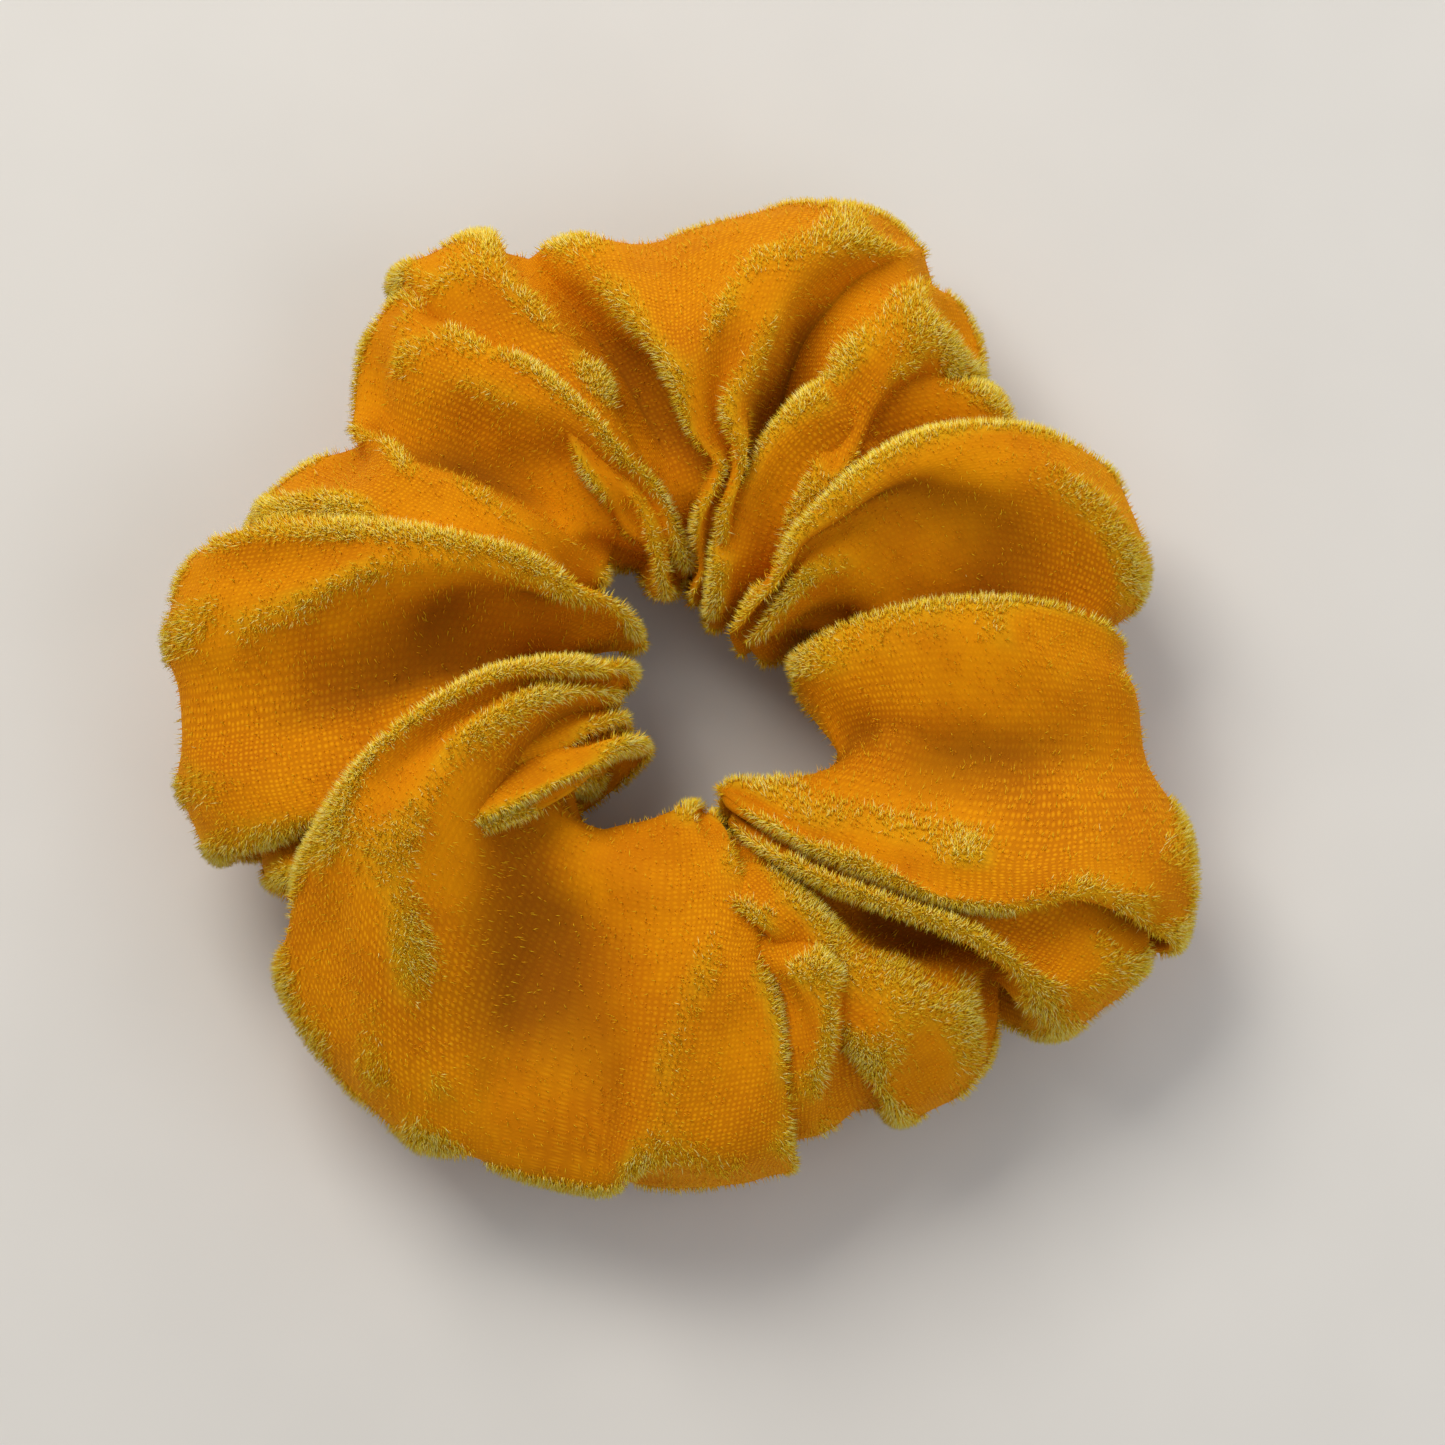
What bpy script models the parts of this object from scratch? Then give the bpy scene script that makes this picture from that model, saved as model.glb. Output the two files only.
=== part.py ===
"""A gathered velvet scrunchie: a sewn fabric tube closed into a ring round a loop of braided elastic.

The ring lies flat on its underside. Z is up, X runs across the way the ring is pulled open, and the
origin is at the middle of the underside. The fabric tube is drawn as a left and a right half, which
meet at the plane through the hole's middle, because the two sides move apart when the ring stretches.
"""

import math

import bmesh
import bpy
from mathutils import Vector

MM = 0.001

# --- driving dimensions, in millimetres ---------------------------------------------------------

HOLE_CENTRE = (1.95, -0.97)      # middle of the finger hole, from the middle of the ring's box
HOLE_HALF = (9.0, 15.5)         # half the hole's width and depth at its narrowest height
RING_REACH = 47.0               # from the hole's middle to the valleys between the gathers
TOP_HEIGHT = 29.0               # height of the cover in a valley
GATHER_RISE = 0.28              # how far a gather rises, as a share of how far it reaches out
FLAT_SHARE = 0.07               # share of the section's height pressed flat by the table
SECTION_POWER = 0.82            # 1 is an ellipse, less is squarer

COVER_WALL = 1.8                # knit back, pile and the small tucks that the halves stand for
SPLIT_GAP = 0.3                 # between the two halves of the cover

# middle of each large gather in degrees from +X, half its width in degrees, and its reach
GATHERS = (
    (20, 23, 6.0),
    (63, 24, 15.0),
    (114, 29, 15.0),
    (173, 33, 12.5),
    (250, 42, 11.0),
    (304, 13, 4.5),
    (336, 22, 12.5),
)

ELASTIC_RADIUS = 22.6           # loop's radius where its outer end starts
ELASTIC_WIDTH = 8.0
ELASTIC_THICKNESS = 1.7
SHEATH_WALL = 0.3
LAP_DEGREES = 30.0              # how far the elastic's two ends pass each other
LAP_MIDDLE = 180.0
LAP_GAP = 0.35
CORE_COUNT = 8
CORE_PITCH = 0.9
CORE_DIAMETER = 0.5

THREAD_DIAMETER = 0.5
SEAM_INSET = 1.6                # from the cover's inner wall to the middle of the seam thread
SEAM_STITCHES = 18
SEAM_STEPS_PER_STITCH = 4
SEAM_WAVE = 0.35
CLOSING_ANGLE = 85.0            # the closing seam lies in the deepest valley of the top side
BINDING_TURNS = 6
BINDING_DEGREES = 18.0
THREAD_CLEARANCE = 0.3

COVER_STEPS = 34                # round each half
SECTION_STEPS = 20
LOOP_STEPS = 42
THREAD_SIDES = 1                # bevel resolution: six sides
RIM_SHARP_DEGREES = 60.0

# --- the ring's shape ---------------------------------------------------------------------------


def gather_reach(angle):
    """How far the gathers push the rim out at an angle: round lobes with a sharp valley between."""
    reach = 0.0
    for middle, half_width, height in GATHERS:
        away = abs((angle - middle + 180.0) % 360.0 - 180.0) / half_width
        if away < 1.0:
            reach = max(reach, height * math.cos(away * math.pi / 2.0))
    return reach


def hole_reach(angle):
    """The hole's edge at an angle, as the radius of an ellipse."""
    turn = math.radians(angle)
    across, along = HOLE_HALF
    return across * along / math.hypot(along * math.cos(turn), across * math.sin(turn))


def section_size(angle):
    """Middle radius, half width and half height of the tube at an angle."""
    reach = gather_reach(angle)
    outer = RING_REACH + reach
    inner = hole_reach(angle)
    height = TOP_HEIGHT + GATHER_RISE * reach
    return (inner + outer) / 2.0, (outer - inner) / 2.0, height / (2.0 - FLAT_SHARE)


def cover_point(angle, turn, inset=0.0):
    """A point of the cover: a rounded section whose lowest part is pressed flat on the table."""
    middle, half_width, half_height = section_size(angle)
    across, up = math.cos(turn), math.sin(turn)
    across = math.copysign(abs(across) ** SECTION_POWER, across)
    up = math.copysign(abs(up) ** SECTION_POWER, up)
    radius = middle + (half_width - inset) * across
    floor = -half_height * (1.0 - FLAT_SHARE) + inset
    height = max((half_height - inset) * up, floor) + half_height * (1.0 - FLAT_SHARE)
    return ring_point(angle, radius, height)


def ring_point(angle, radius, height):
    turn = math.radians(angle)
    x = HOLE_CENTRE[0] + radius * math.cos(turn)
    y = HOLE_CENTRE[1] + radius * math.sin(turn)
    return Vector((x, y, height)) * MM


def casing_middle(angle):
    """Height of the middle of the tube, where the elastic runs."""
    return section_size(angle)[2] * (1.0 - FLAT_SHARE)


# --- making objects -----------------------------------------------------------------------------


def clear_scene():
    for thing in list(bpy.data.objects):
        bpy.data.objects.remove(thing, do_unlink=True)


def material(name, colour, roughness):
    made = bpy.data.materials.new(name)
    made.use_nodes = True
    shader = made.node_tree.nodes["Principled BSDF"]
    shader.inputs["Base Color"].default_value = (*colour, 1.0)
    shader.inputs["Roughness"].default_value = roughness
    shader.inputs["Metallic"].default_value = 0.0
    made.diffuse_color = (*colour, 1.0)
    return made


def add_object(name, data, collection, finish):
    thing = bpy.data.objects.new(name, data)
    data.materials.append(finish)
    collection.objects.link(thing)
    return thing


def lofted_tube(name, rings, collection, finish, wall):
    """An open tube through rings of points, with a wall added inwards by Solidify."""
    mesh = bpy.data.meshes.new(name)
    shape = bmesh.new()
    corners = [[shape.verts.new(point) for point in ring] for ring in rings]
    count = len(rings[0])
    for first, second in zip(corners, corners[1:]):
        for i in range(count):
            j = (i + 1) % count
            shape.faces.new((first[i], second[i], second[j], first[j]))
    shape.to_mesh(mesh)
    shape.free()
    mesh.shade_smooth()
    thing = add_object(name, mesh, collection, finish)
    skin = thing.modifiers.new("wall", "SOLIDIFY")
    skin.thickness = wall * MM
    skin.offset = -1.0
    skin.use_rim = True
    return thing


def thread(name, points, collection, finish, diameter=THREAD_DIAMETER, closed=False):
    """A round strand along points: a poly curve with a bevel and filled ends."""
    curve = bpy.data.curves.new(name, "CURVE")
    curve.dimensions = "3D"
    curve.bevel_depth = diameter / 2.0 * MM
    curve.bevel_resolution = THREAD_SIDES
    curve.use_fill_caps = not closed
    line = curve.splines.new("POLY")
    line.points.add(len(points) - 1)
    for spot, point in zip(line.points, points):
        spot.co = (*point, 1.0)
    line.use_cyclic_u = closed
    return add_object(name, curve, collection, finish)


# --- the cover ----------------------------------------------------------------------------------


def cover_rings(first_angle, shift, inset):
    """The tube's sections from first_angle on through 180 degrees, moved sideways by shift."""
    rings = []
    for i in range(COVER_STEPS + 1):
        angle = first_angle + 180.0 * i / COVER_STEPS
        turns = [2.0 * math.pi * j / SECTION_STEPS for j in range(SECTION_STEPS)]
        rings.append([cover_point(angle, turn, inset) + Vector((shift * MM, 0.0, 0.0)) for turn in turns])
    return rings


def make_cover_half(name, first_angle, shift, collection, finish):
    """Half of the gathered tube: an outer and an inner loft, joined by a flat rim at each end."""
    mesh = bpy.data.meshes.new(name)
    shape = bmesh.new()
    outer, inner = (
        [[shape.verts.new(point) for point in ring] for ring in cover_rings(first_angle, shift, inset)]
        for inset in (0.0, COVER_WALL)
    )
    bands = list(zip(outer, outer[1:])) + list(zip(inner[1:], inner))
    bands += [(inner[0], outer[0]), (outer[-1], inner[-1])]
    for first, second in bands:
        for i in range(SECTION_STEPS):
            j = (i + 1) % SECTION_STEPS
            shape.faces.new((first[i], second[i], second[j], first[j]))
    shape.to_mesh(mesh)
    shape.free()
    mesh.shade_smooth()
    mesh.set_sharp_from_angle(angle=math.radians(RIM_SHARP_DEGREES))
    return add_object(name, mesh, collection, finish)


def make_closing_thread(collection, finish):
    """The seam that closes the ring: a loop of thread on the inside of the tube."""
    inset = COVER_WALL + THREAD_DIAMETER / 2.0 + THREAD_CLEARANCE
    points = [
        cover_point(CLOSING_ANGLE, 2.0 * math.pi * j / LOOP_STEPS, inset) for j in range(LOOP_STEPS)
    ]
    return thread("cover_closing_thread", points, collection, finish, closed=True)


def make_seam_thread(collection, finish):
    """The lengthwise seam: a gently waving strand that runs all round inside the hole's wall."""
    points = []
    steps = SEAM_STITCHES * SEAM_STEPS_PER_STITCH
    for i in range(steps):
        share = i / steps
        angle = 360.0 * share
        wave = SEAM_WAVE * math.sin(2.0 * math.pi * SEAM_STITCHES * share)
        radius = hole_reach(angle) + COVER_WALL + SEAM_INSET
        points.append(ring_point(angle, radius, casing_middle(angle) + wave))
    return thread("cover_seam_thread", points, collection, finish, closed=True)


# --- the elastic --------------------------------------------------------------------------------


def elastic_radius(angle):
    """The loop is a shallow spiral, so that its second end lies outside its first."""
    start = LAP_MIDDLE - LAP_DEGREES / 2.0
    return ELASTIC_RADIUS + (ELASTIC_THICKNESS + LAP_GAP) * (angle - start) / 360.0


def elastic_angles(steps):
    start = LAP_MIDDLE - LAP_DEGREES / 2.0
    return [start + (360.0 + LAP_DEGREES) * i / steps for i in range(steps + 1)]


def make_braid(collection, finish):
    """The braided sheath: a flat tube with round edges, open at both ends."""
    half = ELASTIC_THICKNESS / 2.0
    straight = ELASTIC_WIDTH / 2.0 - half
    corner = half * math.sin(math.pi / 4.0)
    outline = (
        (half, -straight),
        (half, straight),
        (corner, straight + corner),
        (-corner, straight + corner),
        (-half, straight),
        (-half, -straight),
        (-corner, -straight - corner),
        (corner, -straight - corner),
    )
    rings = []
    for angle in elastic_angles(LOOP_STEPS + 6):
        middle = casing_middle(LAP_MIDDLE)
        rings.append(
            [ring_point(angle, elastic_radius(angle) + out, middle + up) for out, up in outline]
        )
    return lofted_tube("elastic_braid", rings, collection, finish, SHEATH_WALL)


def make_cores(collection, finish):
    """The rubber cords that lie side by side in the braid."""
    middle = casing_middle(LAP_MIDDLE)
    for i in range(CORE_COUNT):
        height = middle + (i - (CORE_COUNT - 1) / 2.0) * CORE_PITCH
        points = [
            ring_point(angle, elastic_radius(angle), height)
            for angle in elastic_angles(LOOP_STEPS)
        ]
        thread(f"rubber_core_{i + 1}", points, collection, finish, CORE_DIAMETER)


def make_binding(collection, finish):
    """Stitches that go round and round the two lapped ends of the elastic."""
    clearance = THREAD_CLEARANCE + THREAD_DIAMETER / 2.0
    half_out = ELASTIC_THICKNESS + LAP_GAP / 2.0 + clearance
    half_up = ELASTIC_WIDTH / 2.0 + clearance
    corners = ((1, -1), (1, 0), (1, 1), (0, 1), (-1, 1), (-1, 0), (-1, -1), (0, -1))
    middle_up = casing_middle(LAP_MIDDLE)
    middle_out = (elastic_radius(LAP_MIDDLE) + elastic_radius(LAP_MIDDLE + 360.0)) / 2.0
    steps = BINDING_TURNS * len(corners)
    points = []
    for i in range(steps + 1):
        out, up = corners[i % len(corners)]
        angle = LAP_MIDDLE + BINDING_DEGREES * (i / steps - 0.5)
        points.append(ring_point(angle, middle_out + half_out * out, middle_up + half_up * up))
    return thread("elastic_join_stitching", points, collection, finish)


def main():
    clear_scene()
    parts = bpy.data.collections.new("scrunchie")
    bpy.context.scene.collection.children.link(parts)

    velvet = material("golden_orange_velvet", (0.72, 0.27, 0.012), 0.85)
    braid = material("white_braid", (0.82, 0.80, 0.74), 0.7)
    rubber = material("latex_rubber", (0.62, 0.50, 0.33), 0.5)
    cotton = material("orange_thread", (0.62, 0.24, 0.02), 0.6)
    white = material("white_thread", (0.85, 0.84, 0.80), 0.6)

    half_gap = SPLIT_GAP / 2.0
    make_cover_half("velvet_cover_right", -90.0, half_gap, parts, velvet)
    make_cover_half("velvet_cover_left", 90.0, -half_gap, parts, velvet)
    make_closing_thread(parts, cotton)
    make_seam_thread(parts, cotton)
    make_braid(parts, braid)
    make_cores(parts, rubber)
    make_binding(parts, white)


main()
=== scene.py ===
"""A gathered velvet scrunchie: ruffled velvet cover with its pile, elastic loop, seams and studio.

The cover is one sewn tube of stretch velvet. It starts as a ring of gathers, each a
smooth panel between two valleys, and a short cloth simulation then lets the gathers fall and rest
against each other. Lengths are in metres unless a name says millimetres.
"""

import logging
import math
from dataclasses import dataclass, field
from enum import Enum

import bpy
import numpy as np
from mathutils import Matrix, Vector

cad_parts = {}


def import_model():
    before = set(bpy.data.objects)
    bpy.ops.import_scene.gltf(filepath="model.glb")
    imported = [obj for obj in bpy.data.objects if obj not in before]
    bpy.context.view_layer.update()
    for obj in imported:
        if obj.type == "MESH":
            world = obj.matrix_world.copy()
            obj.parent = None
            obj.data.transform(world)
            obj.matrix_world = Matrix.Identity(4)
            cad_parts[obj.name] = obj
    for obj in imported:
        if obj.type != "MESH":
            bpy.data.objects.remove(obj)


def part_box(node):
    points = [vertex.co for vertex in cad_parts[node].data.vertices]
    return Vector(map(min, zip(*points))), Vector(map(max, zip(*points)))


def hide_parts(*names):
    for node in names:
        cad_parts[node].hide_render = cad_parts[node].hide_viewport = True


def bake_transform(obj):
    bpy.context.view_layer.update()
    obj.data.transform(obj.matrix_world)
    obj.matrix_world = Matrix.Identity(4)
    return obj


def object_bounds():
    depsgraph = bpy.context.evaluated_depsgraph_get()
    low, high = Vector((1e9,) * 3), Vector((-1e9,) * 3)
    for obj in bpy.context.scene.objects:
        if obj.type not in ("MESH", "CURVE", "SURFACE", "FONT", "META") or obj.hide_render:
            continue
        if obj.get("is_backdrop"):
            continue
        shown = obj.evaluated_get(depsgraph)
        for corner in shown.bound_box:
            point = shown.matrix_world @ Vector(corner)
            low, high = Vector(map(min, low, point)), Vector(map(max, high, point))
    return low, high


LOG = logging.getLogger("scrunchie")
MM = 0.001


class Slot(Enum):
    """The record's material slots."""

    VELVET = "velvet"
    SEAM_THREAD = "seam_thread"
    BRAID = "elastic_braid"
    JOIN_THREAD = "join_thread"
    RUBBER = "rubber_core"


class PileTone(Enum):
    """Colour of a piece of pile: amber dye on the flat of a panel, and gold and bright painted
    sheen and painted highlights on the tips along a ridge, where the pile catches the light.
    """

    AMBER = "amber"
    GOLD = "gold"
    BRIGHT = "bright"


# --- small helpers ------------------------------------------------------------------------------


def srgb(code: str) -> tuple[float, float, float, float]:
    """Turn an sRGB hex colour into the linear RGBA that shaders use.

    Args:
        code: six hex digits, with or without a leading #.

    Returns:
        The linear red, green and blue, and an alpha of 1.
    """
    digits = code.lstrip("#")
    parts = [int(digits[i : i + 2], 16) / 255.0 for i in (0, 2, 4)]
    linear = [c / 12.92 if c <= 0.04045 else ((c + 0.055) / 1.055) ** 2.4 for c in parts]
    return (linear[0], linear[1], linear[2], 1.0)


def add_node(tree: bpy.types.NodeTree, kind: str, settings: dict | None = None,
             inputs: dict | None = None) -> bpy.types.Node:
    """Add a node, set its properties, and set or link its inputs.

    Args:
        tree: the material's node tree.
        kind: the node's type name.
        settings: property names and their values.
        inputs: input names or numbers, each with a value or another node's output socket.

    Returns:
        The new node.
    """
    node = tree.nodes.new(kind)
    for name, value in (settings or {}).items():
        setattr(node, name, value)
    for name, value in (inputs or {}).items():
        if isinstance(value, bpy.types.NodeSocket):
            tree.links.new(value, node.inputs[name])
        else:
            node.inputs[name].default_value = value
    return node


def new_material(name: str) -> tuple[bpy.types.Material, bpy.types.NodeTree, bpy.types.Node]:
    """Make a material with nodes.

    Args:
        name: the material's name.

    Returns:
        The material, its node tree and its Principled shader.
    """
    made = bpy.data.materials.new(name)
    made.use_nodes = True
    tree = made.node_tree
    return made, tree, tree.nodes["Principled BSDF"]


def add_ramp(tree: bpy.types.NodeTree, value: bpy.types.NodeSocket,
             stops: tuple[tuple[float, str], ...]) -> bpy.types.NodeSocket:
    """Colour a value by a ramp.

    Args:
        tree: the material's node tree.
        value: the socket that gives the place on the ramp.
        stops: each stop's place and its sRGB hex colour.

    Returns:
        The ramp's colour socket.
    """
    node = add_node(tree, "ShaderNodeValToRGB", inputs={"Fac": value})
    ramp = node.color_ramp
    while len(ramp.elements) < len(stops):
        ramp.elements.new(0.5)
    for element, (place, code) in zip(ramp.elements, stops):
        element.position = place
        element.color = srgb(code)
    return node.outputs["Color"]


def add_mix(tree: bpy.types.NodeTree, share: object, first: object, second: object,
            blend: str = "MIX") -> bpy.types.NodeSocket:
    """Mix two colours by a share, all three values or sockets, and return the mix's socket."""
    node = add_node(tree, "ShaderNodeMix", {"data_type": "RGBA", "blend_type": blend},
                    {0: share, 6: first, 7: second})
    return node.outputs[2]


def add_math(tree: bpy.types.NodeTree, operation: str, first: object, second: object = 0.0,
             clamp: bool = False) -> bpy.types.NodeSocket:
    """One sum on values or sockets, and its result's socket."""
    node = add_node(tree, "ShaderNodeMath", {"operation": operation, "use_clamp": clamp},
                    {0: first, 1: second})
    return node.outputs[0]


def new_piece(name: str, points: np.ndarray, faces: np.ndarray,
              finish: bpy.types.Material) -> bpy.types.Object:
    """Make a smooth-shaded mesh object at the origin.

    Args:
        name: the piece's name.
        points: vertex places, one row each.
        faces: vertex numbers, one row for each face.
        finish: its material.

    Returns:
        The object, linked to the scene.
    """
    mesh = bpy.data.meshes.new(name)
    mesh.from_pydata(points.reshape(-1, 3), [], faces)
    mesh.update()
    mesh.shade_smooth()
    mesh.materials.append(finish)
    piece = bpy.data.objects.new(name, mesh)
    bpy.context.scene.collection.objects.link(piece)
    return piece


def add_values(piece: bpy.types.Object, name: str, values: np.ndarray) -> None:
    """Store one number for each vertex as a named attribute."""
    attribute = piece.data.attributes.new(name, "FLOAT", "POINT")
    attribute.data.foreach_set("value", values.astype(np.float32).ravel())


def add_uv(piece: bpy.types.Object, uv: np.ndarray) -> None:
    """Give a piece a UV map called Cloth, one row for each face corner."""
    layer = piece.data.uv_layers.new(name="Cloth")
    layer.data.foreach_set("uv", uv.astype(np.float32).ravel())


def grid_faces(rows: int, columns: int, first: int = 0, flip: bool = False,
               close_rows: bool = True, close_columns: bool = True) -> np.ndarray:
    """Quads of a grid whose rows and columns may each close on themselves.

    Args:
        rows: points along the first parameter.
        columns: points along the second.
        first: number of the grid's first vertex.
        flip: turn every face round.
        close_rows: join the last row to the first.
        close_columns: join the last column to the first.

    Returns:
        Vertex numbers, four for each face.
    """
    number = np.arange(rows * columns).reshape(rows, columns) + first
    below = np.roll(number, -1, 0)
    corners = [number, np.roll(number, -1, 1), np.roll(below, -1, 1), below]
    if not close_rows:
        corners = [c[:-1] for c in corners]
    if not close_columns:
        corners = [c[:, :-1] for c in corners]
    if flip:
        corners = corners[::-1]
    return np.stack(corners, -1).reshape(-1, 4)


def grid_normals(points: np.ndarray) -> np.ndarray:
    """Unit normals of a doubly closed grid: the cross product of its two central differences.

    Args:
        points: the grid.

    Returns:
        A normal for each point.
    """
    along = np.roll(points, -1, 1) - np.roll(points, 1, 1)
    across = np.roll(points, -1, 0) - np.roll(points, 1, 0)
    normal = np.cross(along, across)
    return normal / np.maximum(np.linalg.norm(normal, axis=-1, keepdims=True), 1e-12)


def smoothed(values: np.ndarray, rounds: int) -> np.ndarray:
    """Average a doubly closed grid with its four neighbours, again and again."""
    for _ in range(rounds):
        near = (np.roll(values, 1, 0) + np.roll(values, -1, 0) + np.roll(values, 1, 1)
                + np.roll(values, -1, 1))
        values = values * 0.5 + near * 0.125
    return values


def resampled(values: np.ndarray, count: int, axis: int) -> np.ndarray:
    """Resample one closed direction of a grid with a uniform cubic B-spline.

    The new point at a place between two old ones is the weighted sum of the four nearest, with the
    spline's cubic basis as weights, so folds stay and single-cell wrinkles are ironed out.

    Args:
        values: the grid.
        count: the new number of points along the axis.
        axis: the direction to resample.

    Returns:
        The new grid.
    """
    old = values.shape[axis]
    place = np.arange(count) * old / count
    cell = np.floor(place).astype(int)
    f = place - cell
    weights = ((1 - f) ** 3 / 6, (3 * f**3 - 6 * f**2 + 4) / 6,
               (-3 * f**3 + 3 * f**2 + 3 * f + 1) / 6, f**3 / 6)
    shape = [1] * values.ndim
    shape[axis] = count
    return sum(w.reshape(shape) * np.take(values, (cell + step) % old, axis)
               for step, w in zip((-1, 0, 1, 2), weights))


def bump_sum(angle: np.ndarray, bumps: tuple[tuple[float, float, float], ...], power: float,
             add: bool) -> np.ndarray:
    """Round bumps along an angle: each is a cosine, to a power, between its two feet.

    Args:
        angle: angles in degrees.
        bumps: each bump's middle and half width in degrees, and its height.
        power: the power of the cosine.
        add: add overlapping bumps, or take the highest.

    Returns:
        The height at each angle.
    """
    total = np.zeros_like(angle)
    for middle, half_width, height in bumps:
        away = np.abs((angle - middle + 180.0) % 360.0 - 180.0) / half_width
        one = height * np.cos(np.clip(away, 0, 1) * np.pi / 2) ** power
        total = total + one if add else np.maximum(total, one)
    return total


# --- finishes -----------------------------------------------------------------------------------


@dataclass(frozen=True)
class StretchVelvet:
    """Golden-orange polyester stretch velvet: knitted, its pile cut short and standing.

    A facing panel looks down between the fibres, so it is saturated orange with the knit's rows
    showing as small dots. Where real velvet turns away its fibres' sides show old gold; here that
    gold is painted on the ridges as painted sheen. Deep in the valleys dark orange-brown is
    painted in as painted shade.
    """

    facing: str = "#DC8B00"
    nap: str = "#C97700"
    # painted shade: dark orange-brown mixed into the colour deep in the valleys
    hollow: str = "#7C4200"
    # painted sheen: old gold mixed into the colour on the ridges
    ridge: str = "#D6B014"
    loop: str = "#F4B012"
    gap: str = "#B06200"
    sheen_tint: str = "#FFC21A"
    knit_pitch_mm: float = 0.52     # spacing of the knit's loops
    nap_patch_mm: float = 9.0       # size of the patches where the pile is stroked one way
    fuzz_mm: float = 0.35           # clumps of pile

    def make(self) -> bpy.types.Material:
        """Build the material from the cloth's own map and its ridge and hollow attributes, which
        place its painted sheen and painted shade.

        Returns:
            The material.
        """
        made, tree, shader = new_material("stretch_velvet")
        cloth = add_node(tree, "ShaderNodeUVMap", {"uv_map": "Cloth"}).outputs[0]
        place = add_node(tree, "ShaderNodeTexCoord").outputs["Object"]
        ridge = add_node(tree, "ShaderNodeAttribute", {"attribute_name": "ridge"}).outputs["Fac"]
        hollow = add_node(tree, "ShaderNodeAttribute", {"attribute_name": "hollow"}).outputs["Fac"]

        loops = add_node(tree, "ShaderNodeTexVoronoi", {"feature": "F1"},
                         {"Vector": cloth, "Scale": 1.0 / (self.knit_pitch_mm * MM),
                          "Randomness": 0.28})
        dots = add_math(tree, "SUBTRACT", 1.0,
                        add_math(tree, "MULTIPLY", loops.outputs["Distance"], 2.2), clamp=True)
        patches = add_node(tree, "ShaderNodeTexNoise", inputs={
            "Vector": place, "Scale": 1.0 / (self.nap_patch_mm * MM), "Detail": 3.0,
            "Roughness": 0.55})
        fuzz = add_node(tree, "ShaderNodeTexNoise", inputs={
            "Vector": place, "Scale": 1.0 / (self.fuzz_mm * MM), "Detail": 2.0})

        nap = add_ramp(tree, patches.outputs["Fac"],
                       ((0.36, self.nap), (0.60, self.facing)))
        knit = add_ramp(tree, dots, ((0.05, self.gap), (0.35, self.facing), (0.8, self.loop)))
        clear = add_node(tree, "ShaderNodeTexNoise", inputs={
            "Vector": place, "Scale": 1.0 / (2.5 * self.nap_patch_mm * MM), "Detail": 1.0})
        knit_share = add_node(tree, "ShaderNodeMapRange", inputs={
            "Value": clear.outputs["Fac"], "From Min": 0.38, "From Max": 0.62, "To Min": 0.1,
            "To Max": 0.5})
        ground = add_mix(tree, knit_share.outputs[0], nap, knit)
        # painted sheen: old gold mixed in on the ridges, broken up by the fuzz
        edge = add_math(tree, "MULTIPLY", ridge, add_math(
            tree, "ADD", add_math(tree, "MULTIPLY", fuzz.outputs["Fac"], 0.8), 0.35), clamp=True)
        ground = add_mix(tree, edge, ground, srgb(self.ridge))
        # painted shade: dark orange-brown mixed in deep in the valleys
        ground = add_mix(tree, add_math(tree, "MULTIPLY", hollow, 0.8, clamp=True), ground,
                         srgb(self.hollow))

        height = add_math(tree, "ADD", fuzz.outputs["Fac"], dots)
        bump = add_node(tree, "ShaderNodeBump", inputs={
            "Strength": 0.22, "Distance": 0.2 * MM, "Height": height})
        tree.links.new(ground, shader.inputs["Base Color"])
        tree.links.new(bump.outputs[0], shader.inputs["Normal"])
        shader.inputs["Roughness"].default_value = 0.85
        shader.inputs["Specular IOR Level"].default_value = 0.08
        shader.inputs["Sheen Weight"].default_value = 0.5
        shader.inputs["Sheen Roughness"].default_value = 0.35
        shader.inputs["Sheen Tint"].default_value = srgb(self.sheen_tint)
        return made


@dataclass(frozen=True)
class PileFibre:
    """Cut polyester pile of one tone: fine bright filament, shinier than its ground."""

    tone: PileTone
    # amber is the pile's dye; gold and bright are painted sheen and painted highlights, and a
    # tone's colours differ a little as no two tufts take dye alike
    dye_and_sheen_colours: tuple[str, ...]           # one piece of pile for each
    roughness: float
    length_mm: float
    spread: float                   # how far each fibre leans its own way

    def make(self, number: int) -> bpy.types.Material:
        """Build the material of one colour of this tone; a fibre is too fine to show a pattern.

        Args:
            number: which of the tone's colours.

        Returns:
            The material.
        """
        made, _, shader = new_material(f"velvet_pile_{self.tone.value}_{number + 1}")
        shader.inputs["Base Color"].default_value = srgb(self.dye_and_sheen_colours[number])
        shader.inputs["Roughness"].default_value = self.roughness
        shader.inputs["Specular IOR Level"].default_value = 0.2
        return made


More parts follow.
